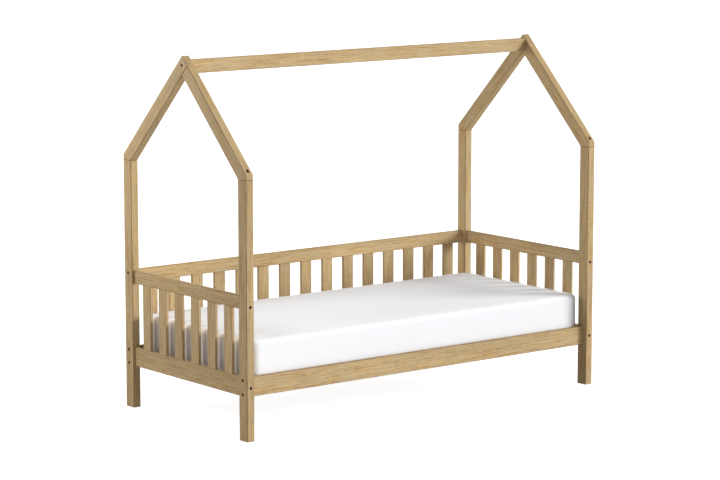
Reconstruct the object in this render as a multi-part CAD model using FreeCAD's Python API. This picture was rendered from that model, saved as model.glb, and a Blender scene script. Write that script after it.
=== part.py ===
"""House frame bed for a 200 x 90 cm mattress.

Origin on the floor at the middle of the footprint. +X runs along the bed, -Y is the open
front, +Y the slatted back, +Z up. All sizes are in millimetres. Small round things (bolts,
nuts, dowels, screws and their holes) are drawn with a few flats each, to keep them light.
"""
import FreeCAD, Part
import math
import os

V = FreeCAD.Vector
X_AXIS = V(1, 0, 0)
Y_AXIS = V(0, 1, 0)
Z_AXIS = V(0, 0, 1)
DOWN = V(0, 0, -1)

# ---------------------------------------------------------------- driving dimensions
LENGTH = 2080.0                  # over the posts, along X
WIDTH = 984.0                    # over the posts, along Y
EAVE_Z = 1175.0                  # top of the posts
BAR_DEEP = 62.0                  # posts, rafters, ridge and top rails share this depth
BAR_THICK = 40.0                 # thickness of posts, rafters and ridge
BAR_EASE = 2.0                   # eased edges of the bars
SLAT_EASE = 1.2                  # eased edges of the slats

RAIL_THICK = 20.0                # side rails and guard top rail
END_RAIL_THICK = 16.0            # rails of the two end panels
LOW_RAIL_HIGH = 90.0
LOW_RAIL_MID = 244.0             # height of the lower rails' middle
TOP_RAIL_MID = 625.0             # height of the top rails' middle
RAIL_IN_POST = 34.0              # middle of a side rail, from each post's front face
STAGGER = 16.0                   # top rail bolts sit this far above or below the middle
BOLT_SPREAD = 32.0               # lower rail fasteners, above and below the middle

SLAT_THICK = 14.0
GUARD_SLATS = 15
GUARD_SLAT_WIDE = 62.0
GUARD_PITCH = 130.0
END_SLATS = 6
END_SLAT_WIDE = 62.0
TENON_LONG = 12.0
TENON_THICK = 8.0
TENON_SHOULDER = 6.0             # step at each edge of a slat

BOLT = 6.0                       # thread diameter
BOLT_HEAD = 13.0
BOLT_HEAD_HIGH = 6.0
HEX_KEY = 5.0                    # across flats
COUNTERBORE = 14.0
SINK = 8.0                       # depth of a counterbore, down to the seat of the head
BOLT_HOLE = 7.0
NUT = 10.0                       # barrel nut diameter
NUT_LONG = 12.0
NUT_COVER = 1.5                  # a nut sits at least this far below the face it enters
NUT_IN = 32.0                    # barrel nut axis, from the end of its bar
PAST_NUT = 8.0                   # a bolt ends this far past its nut's axis
DOWEL = 8.0
DOWEL_IN_OUTER = 11.0
DOWEL_IN_INNER = 24.0
EAVE_BOLT_IN = 15.0              # rafter foot bolt, from the post's outer face
EAVE_DOWEL_IN = 44.0
EAVE_SEAT = 27.0                 # seat of that bolt's head, above the seam
PEAK_OFFSET = 14.0               # peak bolt and dowel, from the front rafter's middle
HEAD_FLATS = 16                  # flats of bolt heads and counterbores
PIN_FLATS = 8                    # flats of nuts and dowels
SHANK_FLATS = 6                  # flats of bolt shanks, screws and their holes

BASE_TOP = 266.0                 # top of the slatted base
BASE_SLATS = 14
BASE_SLAT_WIDE = 70.0
BASE_SLAT_THICK = 18.0
BASE_END_GAP = 24.0              # first and last base slat, from the posts
BASE_SIDE_GAP = 3.0              # base slats, from the side rails
LEDGER_WIDE = 26.0
LEDGER_HIGH = 30.0
LEDGER_SHORT = 6.0               # a ledger ends this far from the posts
LEDGER_SCREWS = 5
LEDGER_SCREW_IN = 80.0           # outermost ledger screws, from the posts
SCREW = 4.0
SCREW_HEAD = 8.0
SCREW_BITE = 14.0                # how far a screw enters the second piece
STRAP_WIDE = 20.0
STRAP_THICK = 1.2
STRAP_IN = 200.0                 # straps, from the middle of the bed

MATTRESS_LONG = 1994.0
MATTRESS_WIDE = 894.0
MATTRESS_HIGH = 180.0            # at the edge of its top
MATTRESS_CORNER = 40.0           # rounded corners seen from above
MATTRESS_ROLL = 18.0             # rounding of the upper edges
MATTRESS_UNDER_ROLL = 36.0       # rounding of the lower edges
MATTRESS_DRAW = 3.0              # how far each side draws in between its corners
MATTRESS_CROWN = 5.0             # how far the middle of the top stands above its edge
SOFT_GAP = 0.3                   # air between the mattress and the base slats

# ---------------------------------------------------------------- worked out from them
HALF_L = LENGTH / 2
HALF_W = WIDTH / 2
INNER_X = HALF_L - BAR_THICK                 # inner faces of the posts, along X
INNER_Y = HALF_W - BAR_DEEP                  # inner faces of the posts, along Y
ROOF_RISE = BAR_DEEP * (math.sqrt(2) - 1)    # upright part of a rafter's foot
PEAK_Z = EAVE_Z + ROOF_RISE + HALF_W
SEAM = BAR_DEEP / math.sqrt(2)               # peak to the outer end of the peak's seam
FRONT_MID = -HALF_W + RAIL_IN_POST           # middle plane of the front side rail
REAR_MID = INNER_Y + RAIL_IN_POST            # middle plane of the rear rails
END_MID = HALF_L - BAR_THICK / 2             # middle plane of the end panels and gables
RIDGE_TOP = PEAK_Z - BAR_THICK / 2           # its top edges meet the roof slopes
LOW_RAIL_TOP = LOW_RAIL_MID + LOW_RAIL_HIGH / 2
TOP_RAIL_BOTTOM = TOP_RAIL_MID - BAR_DEEP / 2
LEDGER_TOP = BASE_TOP - BASE_SLAT_THICK
SIDES = {-1: "left", 1: "right"}
DEPTHS = {-1: "front", 1: "rear"}
CORNERS = [(sx, sy) for sx in SIDES for sy in DEPTHS]


# ---------------------------------------------------------------- building blocks
def block(x0, x1, y0, y1, z0, z1):
    return Part.makeBox(x1 - x0, y1 - y0, z1 - z0, V(x0, y0, z0))


def ring(radius, centre, direction, flats):
    """Closed polygon with so many flats, square to the direction."""
    side = direction.cross(Z_AXIS)
    if side.Length < 0.1:
        side = V(X_AXIS)
    side.normalize()
    up = direction.cross(side)
    points = []
    for step in range(flats + 1):
        angle = 2 * math.pi * step / flats
        points.append(centre + side * (radius * math.cos(angle)) + up * (radius * math.sin(angle)))
    return Part.makePolygon(points)


def pin(radius, start, direction, length, flats):
    return Part.Face(ring(radius, start, direction, flats)).extrude(direction * length)


def eased(solid, axis, size):
    """Ease the edges of a bar that run along the axis."""
    edges = []
    for edge in solid.Edges:
        tangent = edge.tangentAt(edge.FirstParameter)
        if abs(abs(tangent.dot(axis)) - 1) < 1e-6:
            edges.append(edge)
    return solid.makeChamfer(size, edges)


def save(name, solids):
    """Write one node; a list of solids is a group that stays separate."""
    shape = Part.makeCompound(solids) if isinstance(solids, list) else solids
    for solid in shape.Solids:
        if not solid.isValid() or solid.Volume <= 0:
            raise ValueError(name + " is not a valid solid")
    shape.exportStep("parts/" + name + ".step")


# ---------------------------------------------------------------- fasteners and their holes
def cap_screw(seat, direction, length):
    """Cap screw whose head rests on the seat and whose shank points along the direction."""
    top = seat - direction * BOLT_HEAD_HIGH
    head = pin(BOLT_HEAD / 2, top, direction, BOLT_HEAD_HIGH, HEAD_FLATS)
    shank = pin(BOLT / 2, seat, direction, length, SHANK_FLATS)
    key = pin(HEX_KEY / math.sqrt(3), top, direction, BOLT_HEAD_HIGH / 2, 6)
    return head.fuse(shank).cut(key)


def bolt_joint(face, direction, seat_depth, joint_depth, nut_axis, nut_open):
    """Bolt and barrel nut that pull an inner piece against an outer one.

    Depths run from the outer face along the direction. The nut is let in along nut_axis from
    a face that lies nut_open from the bolt. Returns the bolt, the nut and the holes for the
    outer and the inner piece.
    """
    seat = face + direction * seat_depth
    joint = face + direction * joint_depth
    nut_centre = joint + direction * NUT_IN
    length = joint_depth - seat_depth + NUT_IN + PAST_NUT
    bolt = cap_screw(seat, direction, length)
    nut_top = min(nut_open - NUT_COVER, NUT_LONG / 2)
    nut_start = nut_centre + nut_axis * nut_top
    nut = pin(NUT / 2, nut_start, nut_axis * -1, NUT_LONG, PIN_FLATS)
    nut = nut.cut(pin(BOLT / 2, seat, direction, length, SHANK_FLATS))
    outer = pin(COUNTERBORE / 2, seat, direction * -1, seat_depth + BAR_DEEP, HEAD_FLATS)
    outer = outer.fuse(pin(BOLT_HOLE / 2, seat, direction, joint_depth - seat_depth,
                           SHANK_FLATS))
    inner = pin(BOLT_HOLE / 2, joint, direction, NUT_IN + PAST_NUT + 1, SHANK_FLATS)
    mouth = nut_open - nut_top + NUT_LONG
    inner = inner.fuse(pin(NUT / 2, nut_centre + nut_axis * nut_open, nut_axis * -1, mouth,
                           PIN_FLATS))
    return bolt, nut, outer, inner


def dowel_at(joint, direction):
    """Dowel across a joint face; the direction points into the inner piece."""
    return pin(DOWEL / 2, joint - direction * DOWEL_IN_OUTER, direction,
               DOWEL_IN_OUTER + DOWEL_IN_INNER, PIN_FLATS)


def wood_screw(face, direction, length):
    """Countersunk screw whose head is flush with the face it enters."""
    taper = (SCREW_HEAD - SCREW) / 2
    head = Part.makeLoft([ring(SCREW_HEAD / 2, face, direction, SHANK_FLATS),
                          ring(SCREW / 2, face + direction * taper, direction, SHANK_FLATS)],
                         True, True)
    shank = pin(SCREW / 2, face + direction * taper, direction, length - taper, SHANK_FLATS)
    return head.fuse(shank).removeSplitter()


# ---------------------------------------------------------------- bars before drilling
def post_bar(sx, sy):
    """Eased all round, so that the seam under the rafter shows as a fine groove."""
    x0 = min(sx * HALF_L, sx * INNER_X)
    y0 = min(sy * HALF_W, sy * INNER_Y)
    bar = block(x0, x0 + BAR_THICK, y0, y0 + BAR_DEEP, 0, EAVE_Z)
    return bar.makeChamfer(BAR_EASE, bar.Edges)


def rafter_bar(sx, sy):
    """Rear rafters run through to the peak, front rafters butt against their undersides.

    Both are eased all round: the seams at their feet and at the peak show as fine grooves.
    """
    foot = [V(0, sy * INNER_Y, EAVE_Z), V(0, sy * HALF_W, EAVE_Z),
            V(0, sy * HALF_W, EAVE_Z + ROOF_RISE)]
    if sy > 0:
        head = [V(0, 0, PEAK_Z), V(0, -SEAM, PEAK_Z - SEAM)]
    else:
        head = [V(0, -SEAM, PEAK_Z - SEAM), V(0, 0, PEAK_Z - 2 * SEAM)]
    outline = Part.makePolygon(foot + head + foot[:1])
    bar = Part.Face(outline).extrude(X_AXIS * BAR_THICK)
    bar.translate(X_AXIS * min(sx * HALF_L, sx * INNER_X))
    return bar.makeChamfer(BAR_EASE, bar.Edges)


def side_bar(y_mid, z_mid, high, thick):
    bar = block(-INNER_X, INNER_X, y_mid - thick / 2, y_mid + thick / 2,
                z_mid - high / 2, z_mid + high / 2)
    return eased(bar, X_AXIS, BAR_EASE)


def end_bar(sx, z_mid, high):
    x_mid = sx * END_MID
    bar = block(x_mid - END_RAIL_THICK / 2, x_mid + END_RAIL_THICK / 2, -INNER_Y, INNER_Y,
                z_mid - high / 2, z_mid + high / 2)
    return eased(bar, Y_AXIS, BAR_EASE)


def upright_slat(x, y, half_x, half_y):
    """Slat between a lower and a top rail, and the tongue whose ends are its tenons."""
    body = block(x - half_x, x + half_x, y - half_y, y + half_y, LOW_RAIL_TOP, TOP_RAIL_BOTTOM)
    body = eased(body, Z_AXIS, SLAT_EASE)
    narrow = (SLAT_THICK - TENON_THICK) / 2
    tongue_x = half_x - (narrow if half_x < half_y else TENON_SHOULDER)
    tongue_y = half_y - (narrow if half_y < half_x else TENON_SHOULDER)
    tongue = block(x - tongue_x, x + tongue_x, y - tongue_y, y + tongue_y,
                   LOW_RAIL_TOP - TENON_LONG, TOP_RAIL_BOTTOM + TENON_LONG)
    return body.fuse(tongue), tongue


# ---------------------------------------------------------------- soft form
def mattress_outline(inset, z):
    """Rounded rectangle, anticlockwise, whose sides draw in between the corners."""
    half_x = MATTRESS_LONG / 2 - inset
    half_y = MATTRESS_WIDE / 2 - inset
    radius = MATTRESS_CORNER * (1 - 2 * inset / MATTRESS_WIDE)
    bend = radius * (1 - math.sqrt(0.5))
    middle = V(0, (FRONT_MID + REAR_MID) / 2, z)
    corners = []
    for turn, (sx, sy) in enumerate(((1, -1), (1, 1), (-1, 1), (-1, -1))):
        on_end = middle + V(sx * half_x, sy * (half_y - radius), 0)
        on_side = middle + V(sx * (half_x - radius), sy * half_y, 0)
        between = middle + V(sx * (half_x - bend), sy * (half_y - bend), 0)
        corners.append((on_side, between, on_end) if turn % 2 == 0 else (on_end, between, on_side))
    edges = []
    for turn, corner in enumerate(corners):
        after = corners[(turn + 1) % 4]
        halfway = (corner[2] + after[0]) * 0.5
        drawn = halfway + (middle - halfway).normalize() * MATTRESS_DRAW
        edges.append(Part.Arc(*corner).toShape())
        edges.append(Part.Arc(corner[2], drawn, after[0]).toShape())
    return Part.Wire(edges)


def make_mattress():
    """Soft block: rolled lower and upper edges, upright sides and a crowned top."""
    bottom = BASE_TOP + SOFT_GAP
    top = BASE_TOP + MATTRESS_HIGH
    levels = []
    for step in range(4):
        lean = math.radians(30 * step)
        levels.append((MATTRESS_UNDER_ROLL * (1 - math.sin(lean)),
                       bottom + MATTRESS_UNDER_ROLL * (1 - math.cos(lean))))
    for step in range(4):
        lean = math.radians(30 * step)
        levels.append((MATTRESS_ROLL * (1 - math.cos(lean)),
                       top - MATTRESS_ROLL * (1 - math.sin(lean))))
    for share, rise in ((0.1, 0.5), (0.25, 1.0)):
        levels.append((MATTRESS_ROLL + share * MATTRESS_WIDE / 2, top + MATTRESS_CROWN * rise))
    wires = [mattress_outline(inset, z) for inset, z in levels]
    return Part.makeLoft(wires, True, True)


# ---------------------------------------------------------------- the bed, group by group
class Bed:
    """The pieces as they are drilled, by name, and the groups of like fasteners."""

    def __init__(self):
        self.pieces = {}
        self.groups = {}
        for sx, sy in CORNERS:
            self.pieces[post_name(sx, sy)] = post_bar(sx, sy)
            self.pieces[rafter_name(sx, sy)] = rafter_bar(sx, sy)
        self.pieces["ridge_beam"] = side_bar(0, RIDGE_TOP - BAR_DEEP / 2, BAR_DEEP, BAR_THICK)
        self.pieces["front_side_rail"] = side_bar(FRONT_MID, LOW_RAIL_MID, LOW_RAIL_HIGH,
                                                  RAIL_THICK)
        self.pieces["rear_side_rail"] = side_bar(REAR_MID, LOW_RAIL_MID, LOW_RAIL_HIGH,
                                                 RAIL_THICK)
        self.pieces["guard_top_rail"] = side_bar(REAR_MID, TOP_RAIL_MID, BAR_DEEP, RAIL_THICK)
        for sx, side in SIDES.items():
            self.pieces[side + "_end_lower_rail"] = end_bar(sx, LOW_RAIL_MID, LOW_RAIL_HIGH)
            self.pieces[side + "_end_top_rail"] = end_bar(sx, TOP_RAIL_MID, BAR_DEEP)

    def cut(self, name, tool):
        self.pieces[name] = self.pieces[name].cut(tool)

    def add(self, group, solid):
        self.groups.setdefault(group, []).append(solid)

    def bolt(self, group, outer_name, inner_name, *joint):
        bolt, nut, outer_hole, inner_hole = bolt_joint(*joint)
        self.add(group, bolt)
        self.add("barrel_nuts", nut)
        self.cut(outer_name, outer_hole)
        self.cut(inner_name, inner_hole)

    def dowel(self, outer_name, inner_name, joint, direction):
        dowel = dowel_at(joint, direction)
        self.add("dowels", dowel)
        self.cut(outer_name, dowel)
        self.cut(inner_name, dowel)

    def screw(self, outer_name, inner_name, face, direction, length):
        screw = wood_screw(face, direction, length)
        self.add("wood_screws", screw)
        self.cut(outer_name, screw)
        self.cut(inner_name, screw)


def post_name(sx, sy):
    return "%s_%s_post" % (DEPTHS[sy], SIDES[sx])


def rafter_name(sx, sy):
    return "%s_%s_rafter" % (DEPTHS[sy], SIDES[sx])


def join_side_rails(bed):
    """Side rails and guard top rail, bolted along X through the posts."""
    spread = (LOW_RAIL_MID - BOLT_SPREAD, LOW_RAIL_MID + BOLT_SPREAD)
    rails = (("front_side_rail", -1, FRONT_MID, spread, ()),
             ("rear_side_rail", 1, REAR_MID, spread, ()),
             ("guard_top_rail", 1, REAR_MID, (TOP_RAIL_MID + STAGGER,),
              (TOP_RAIL_MID - STAGGER,)))
    for rail, sy, y_mid, bolt_heights, dowel_heights in rails:
        for sx in SIDES:
            post = post_name(sx, sy)
            inward = X_AXIS * -sx
            for z in bolt_heights:
                bed.bolt("rail_bolts", post, rail, V(sx * HALF_L, y_mid, z), inward,
                         SINK, BAR_THICK, Y_AXIS, RAIL_THICK / 2)
            for z in dowel_heights:
                bed.dowel(post, rail, V(sx * INNER_X, y_mid, z), inward)


def join_end_rails(bed):
    """End rails, bolted along Y through the posts."""
    levels = (("lower", LOW_RAIL_MID, (LOW_RAIL_MID - BOLT_SPREAD, LOW_RAIL_MID + BOLT_SPREAD)),
              ("top", TOP_RAIL_MID - STAGGER, (TOP_RAIL_MID + STAGGER,)))
    for sx, sy in CORNERS:
        post = post_name(sx, sy)
        inward = Y_AXIS * -sy
        for level, bolt_z, dowel_heights in levels:
            rail = "%s_end_%s_rail" % (SIDES[sx], level)
            bed.bolt("end_rail_bolts", post, rail, V(sx * END_MID, sy * HALF_W, bolt_z),
                     inward, SINK, BAR_DEEP, X_AXIS, END_RAIL_THICK / 2)
            for z in dowel_heights:
                bed.dowel(post, rail, V(sx * END_MID, sy * INNER_Y, z), inward)


def join_roof(bed):
    """Rafter feet on the posts, rafters at the peak, ridge between the gables."""
    for sx, sy in CORNERS:
        rafter, post = rafter_name(sx, sy), post_name(sx, sy)
        above_seam = ROOF_RISE + EAVE_BOLT_IN
        face = V(sx * END_MID, sy * (HALF_W - EAVE_BOLT_IN), EAVE_Z + above_seam)
        bed.bolt("eave_bolts", rafter, post, face, DOWN, above_seam - EAVE_SEAT, above_seam,
                 X_AXIS, BAR_THICK / 2)
        bed.dowel(rafter, post, V(sx * END_MID, sy * (HALF_W - EAVE_DOWEL_IN), EAVE_Z), DOWN)
    into_front = V(0, -1, -1).normalize()
    across = V(0, -1, 1).normalize()
    for sx in SIDES:
        front, rear = rafter_name(sx, -1), rafter_name(sx, 1)
        crossing = V(sx * END_MID, 0, PEAK_Z - SEAM)
        head = crossing - into_front * (BAR_DEEP / 2) - across * PEAK_OFFSET
        bed.bolt("peak_bolts", rear, front, head, into_front, SINK, BAR_DEEP,
                 X_AXIS, BAR_THICK / 2)
        seam = crossing + into_front * (BAR_DEEP / 2) + across * PEAK_OFFSET
        bed.dowel(rear, front, seam, into_front)
        inward = X_AXIS * -sx
        bed.bolt("ridge_bolts", rear, "ridge_beam", V(sx * HALF_L, 0, PEAK_Z - SEAM), inward,
                 SINK, BAR_THICK, Y_AXIS, BAR_THICK / 2)
        below = V(sx * INNER_X, 0, PEAK_Z - SEAM - PEAK_OFFSET * math.sqrt(2))
        bed.dowel(rear, "ridge_beam", below, inward)


def add_slats(bed):
    """Guard slats along the back and end slats, tenoned into their rails."""
    for index in range(GUARD_SLATS):
        x = (index - (GUARD_SLATS - 1) / 2) * GUARD_PITCH
        slat, tongue = upright_slat(x, REAR_MID, GUARD_SLAT_WIDE / 2, SLAT_THICK / 2)
        bed.pieces["guard_slat_%02d" % (index + 1)] = slat
        bed.cut("rear_side_rail", tongue)
        bed.cut("guard_top_rail", tongue)
    gap = (2 * INNER_Y - END_SLATS * END_SLAT_WIDE) / (END_SLATS + 1)
    for sx, side in SIDES.items():
        for index in range(END_SLATS):
            y = (index - (END_SLATS - 1) / 2) * (END_SLAT_WIDE + gap)
            slat, tongue = upright_slat(sx * END_MID, y, SLAT_THICK / 2, END_SLAT_WIDE / 2)
            bed.pieces["%s_end_slat_%d" % (side, index + 1)] = slat
            bed.cut(side + "_end_lower_rail", tongue)
            bed.cut(side + "_end_top_rail", tongue)


def add_ledgers(bed):
    """Ledger strips screwed to the inner faces of the side rails."""
    for sy, depth in DEPTHS.items():
        rail_face = (FRONT_MID if sy < 0 else REAR_MID) - sy * RAIL_THICK / 2
        inner_face = rail_face - sy * LEDGER_WIDE
        strip = block(-INNER_X + LEDGER_SHORT, INNER_X - LEDGER_SHORT,
                      min(rail_face, inner_face), max(rail_face, inner_face),
                      LEDGER_TOP - LEDGER_HIGH, LEDGER_TOP)
        bed.pieces[depth + "_ledger"] = eased(strip, X_AXIS, SLAT_EASE)
        reach = INNER_X - LEDGER_SCREW_IN
        for index in range(LEDGER_SCREWS):
            x = -reach + 2 * reach * index / (LEDGER_SCREWS - 1)
            bed.screw(depth + "_ledger", depth + "_side_rail",
                      V(x, inner_face, LEDGER_TOP - LEDGER_HIGH / 2), Y_AXIS * sy,
                      LEDGER_WIDE + SCREW_BITE)


def add_base(bed):
    """Base slats on the ledgers, the outermost ones screwed down, on two webbing straps."""
    y0 = FRONT_MID + RAIL_THICK / 2 + BASE_SIDE_GAP
    y1 = REAR_MID - RAIL_THICK / 2 - BASE_SIDE_GAP
    end = INNER_X - BASE_END_GAP
    pitch = (2 * end - BASE_SLAT_WIDE) / (BASE_SLATS - 1)
    for index in range(BASE_SLATS):
        x0 = -end + index * pitch
        slat = block(x0, x0 + BASE_SLAT_WIDE, y0, y1, LEDGER_TOP, BASE_TOP)
        bed.pieces["base_slat"] = eased(slat, Y_AXIS, SLAT_EASE)
        if index in (0, BASE_SLATS - 1):
            for depth, y in (("front", y0 + LEDGER_WIDE / 2), ("rear", y1 - LEDGER_WIDE / 2)):
                bed.screw("base_slat", depth + "_ledger",
                          V(x0 + BASE_SLAT_WIDE / 2, y, BASE_TOP), DOWN,
                          BASE_SLAT_THICK + SCREW_BITE)
        bed.add("base_slats", bed.pieces.pop("base_slat"))
    for sy in DEPTHS:
        y_mid = (y0 + y1) / 2 + sy * STRAP_IN
        bed.add("base_straps", block(-end, end, y_mid - STRAP_WIDE / 2, y_mid + STRAP_WIDE / 2,
                                     LEDGER_TOP - STRAP_THICK, LEDGER_TOP))


def main():
    os.makedirs("parts", exist_ok=True)
    bed = Bed()
    join_side_rails(bed)
    join_end_rails(bed)
    join_roof(bed)
    add_slats(bed)
    add_ledgers(bed)
    add_base(bed)
    bed.pieces["mattress"] = make_mattress()
    for name, solid in bed.pieces.items():
        save(name, solid)
    for name, solids in bed.groups.items():
        save(name, solids)


main()
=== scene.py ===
"""House frame bed: wood grain, cap screws, mattress and fitted sheet on the packed frame."""
import math
import random

import bmesh
import bpy
import numpy as np
from mathutils import Euler, Matrix, Vector, noise


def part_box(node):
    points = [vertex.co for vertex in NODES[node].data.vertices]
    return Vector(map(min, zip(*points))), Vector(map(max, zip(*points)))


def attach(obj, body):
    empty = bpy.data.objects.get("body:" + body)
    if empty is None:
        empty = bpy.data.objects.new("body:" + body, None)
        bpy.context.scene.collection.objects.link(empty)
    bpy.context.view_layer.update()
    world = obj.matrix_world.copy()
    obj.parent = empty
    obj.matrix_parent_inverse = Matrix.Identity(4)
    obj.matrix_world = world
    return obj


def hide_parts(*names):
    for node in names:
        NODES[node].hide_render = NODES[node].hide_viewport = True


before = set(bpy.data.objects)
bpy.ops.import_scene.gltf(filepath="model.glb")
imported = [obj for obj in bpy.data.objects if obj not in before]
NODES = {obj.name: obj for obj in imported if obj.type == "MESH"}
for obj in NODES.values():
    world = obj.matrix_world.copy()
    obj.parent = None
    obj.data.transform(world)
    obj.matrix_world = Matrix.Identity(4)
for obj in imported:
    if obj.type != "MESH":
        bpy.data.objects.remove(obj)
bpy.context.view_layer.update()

bl_info = {
    "name": "House frame bed",
    "version": (1, 0, 0),
    "blender": (4, 5, 0),
    "location": "3D View > Sidebar > House bed",
    "description": "Finishes the pieces of a house frame bed and sets up its stage",
    "category": "Object",
}

FRAME_BODY = "bed_frame"
MATTRESS_BODY = "mattress"
MATTRESS_LOW, MATTRESS_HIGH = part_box("mattress")

# Lines of painted shade in the grooves where pieces meet, and along the front rail's top: plane's
# normal, its distance from the origin, width, share of dark.
EAVE_JOINT_SHADE = ((0.0, 0.0, 1.0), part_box("front_left_post")[1].z, 0.0022, 1.0)
PEAK_SEAM = 1.1349  # underside of the rear rafters, along their slope's normal
PEAK_JOINT_SHADE = ((0.0, math.sqrt(0.5), math.sqrt(0.5)), PEAK_SEAM, 0.0032, 1.0)
# painted shade along the front rail's top, where the mattress's lower edge meets it
RAIL_TOP_SHADE = ((0.0, 1.0, 0.0), sum(corner.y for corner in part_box("front_side_rail")) / 2,
                 0.0085, 0.9)

SAME_POINT = 1e-6  # points closer than this are one
SAME_LEVEL = 1e-5  # points this close to a bolt's end, along the bolt, belong to the end

# Wood.
RING_SWAY, RING_WAVER = 0.055, 0.0035  # slow and quick wander of the rings
RING_START, RING_PEAK = 0.25, 0.93  # where a ring's dark part starts and is darkest
RING_DARK, STREAK_DARK, FIBRE_DARK = 0.38, 0.62, 0.30
GOLD_SHARE, OLIVE_SHARE = 0.60, 0.45  # the most that streaks and clouds hide of the wood
END_DARK = 0.20  # how much darker end grain is
BORE_REACH = 0.012  # a piece this close to a bolt's head may be bored for it
BORE_FADE = (0.002, 0.007)  # depth below a head's top over which the painted shade of a hole ends
PITH_OFF = (0.03, 0.09)  # least and most distance of the pith from a piece's middle
GRAIN_SLOPE = 0.012  # how far the grain may run off a piece's length, in radians
RING_SPREAD = (0.8, 1.25)  # narrowest and widest rings, as shares of the ring spacing
MEAN_TONE = 0.99
MATT = 0.12  # specular level of the oiled wood

# Cap screws.
SCREW_SIDES = 36
HEAD_FROM = 0.7  # a point this many thread diameters off the axis is on the head
HEAD_RIB = 0.00018  # depth of the ribs around a head
SOCKET_DEPTH = 0.55  # share of the head's height
THREAD_STEP = 0.004  # from one modelled turn of a thread to the next
THREAD_CREST, THREAD_ROOT, THREAD_TIP = 0.93, 0.86, 0.7  # shares of the thread's radius

# Mattress and sheet.
SOLID_CROWN = 0.005  # how far the solid's top climbs to its middle
CORE_INSET = 0.002  # ticking, inside the sheet
CORE_DROP = 0.001  # top of the mattress, under the sheet
CORE_LIFT = 0.0012  # underside of the mattress, above the solid's
SHEET_LIFT = 0.0002  # underside of the sheet, above the solid's
CORE_GRID = 0.03  # spacing of the mattress's points
SHEET_GRID = 0.012  # spacing of the sheet's points
RIM_SHARES = np.array([1.0, 0.62, 0.3])  # grid lines over a corner's rounding
QUARTER_TURN = [math.radians(18 * step) for step in range(6)]
LEAST_CORNER = 0.006  # smallest rounding of a corner, where the sheet turns under
TUCK_ROWS = 6
CROWN_REACH = 0.25  # share of the half width in which the top climbs
SMOOTH_HEM = 0.006  # the sheet has no creases this close to its underside
FAN_FOLDS, FAN_REACH, FAN_START = 11, 0.16, 0.05  # creases that fan out from a corner
HEM_FOLDS, HEM_REACH = 95, 0.03  # ripples along the lower edge
HEM_SHARE, SLACK_SHARE = 0.6, 0.9  # height of the ripples and slow waves, in creases

# Stage.
FLOOR_REACH = 60.0
FLOOR_GAP = 0.0005  # floor, below the feet
SUN_DISTANCE = 6
PANEL_AIM = Vector((0, 0, 0.8))  # where the light panel looks

# How the grain runs: turning a point by these angles lays the grain along X.
ALONG_X = Euler((0, 0, 0))
ALONG_Y = Euler((0, 0, math.radians(-90)))
ALONG_Z = Euler((0, math.radians(90), 0))
ALONG_REAR_SLOPE = Euler((math.radians(45), 0, math.radians(-90)))
ALONG_FRONT_SLOPE = Euler((math.radians(-45), 0, math.radians(-90)))


# ------------------------------------------------------------------ settings
def colour_setting(name, description, default):
    return bpy.props.FloatVectorProperty(
        name=name, description=description, subtype="COLOR", size=3, min=0, max=1,
        default=default)


def place_setting(name, description, default):
    return bpy.props.FloatVectorProperty(
        name=name, description=description, subtype="TRANSLATION", unit="LENGTH", size=3,
        default=default)


def length_setting(name, description, default, low, high):
    return bpy.props.FloatProperty(
        name=name, description=description, subtype="DISTANCE", unit="LENGTH", min=low,
        max=high, default=default)


def angle_setting(name, description, default):
    return bpy.props.FloatProperty(
        name=name, description=description, subtype="ANGLE", unit="ROTATION", min=-math.pi,
        max=math.pi, default=default)


def share_setting(name, description, default, high=1.0):
    return bpy.props.FloatProperty(
        name=name, description=description, subtype="FACTOR", min=0, max=high,
        default=default)


def strength_setting(name, description, default, high):
    return bpy.props.FloatProperty(
        name=name, description=description, min=0, max=high, default=default)


class BedWoodSettings(bpy.types.PropertyGroup):
    """Colours and figure of the frame's wood."""

    early: colour_setting("Early wood", "Pale wood between the rings", (0.560, 0.420, 0.235))
    late: colour_setting("Late wood", "Darker wood of the rings", (0.385, 0.245, 0.105))
    warm: colour_setting(
        "Golden streaks", "Short golden streaks along the grain", (0.570, 0.378, 0.165))
    cool: colour_setting(
        "Olive clouds", "Greyer olive clouds in the wood", (0.450, 0.362, 0.205))
    pore: colour_setting("Pores", "Fine dark dashes along the grain", (0.20, 0.115, 0.05))
    ring: length_setting(
        "Ring spacing", "Distance from one growth ring to the next", 0.0075, 0.001, 0.03)
    tone_spread: share_setting(
        "Tone spread", "How far a piece may be paler or darker than the rest", 0.11, 0.3)
    # The number is picked so that the front left post comes out darker and the right posts paler:
    # partly the wood's own tone, partly painted light that falls off from right to left.
    tone_and_shade_draw: bpy.props.IntProperty(
        name="Tone and shade draw", description="Number that draws the tones of the pieces",
        min=0, default=135680)
    # painted shade inside the bolt holes, standing in for the shadow in them
    bore: colour_setting(
        "Bore shade colour", "Darkened wood inside the bolt holes", (0.045, 0.027, 0.013))
    bore_radius: length_setting(
        "Bore radius", "Radius of the holes that the bolt heads sit in", 0.007, 0.003, 0.02)
    edge: length_setting(
        "Edge width", "Reach of the darker wood along the edges", 0.0026, 0.0005, 0.01)
    edge_depth: share_setting("Edge depth", "How far the wood darkens along the edges", 0.55)
    # painted shade: how dark the line in the groove where two pieces meet is painted
    joint: share_setting(
        "Joint shade line", "How far the wood darkens in the groove of a joint", 0.7)
    base_early: colour_setting(
        "Base wood", "Pale wood of the slatted base", (0.72, 0.56, 0.36))
    base_late: colour_setting("Base rings", "Rings of the slatted base", (0.58, 0.40, 0.22))


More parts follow.
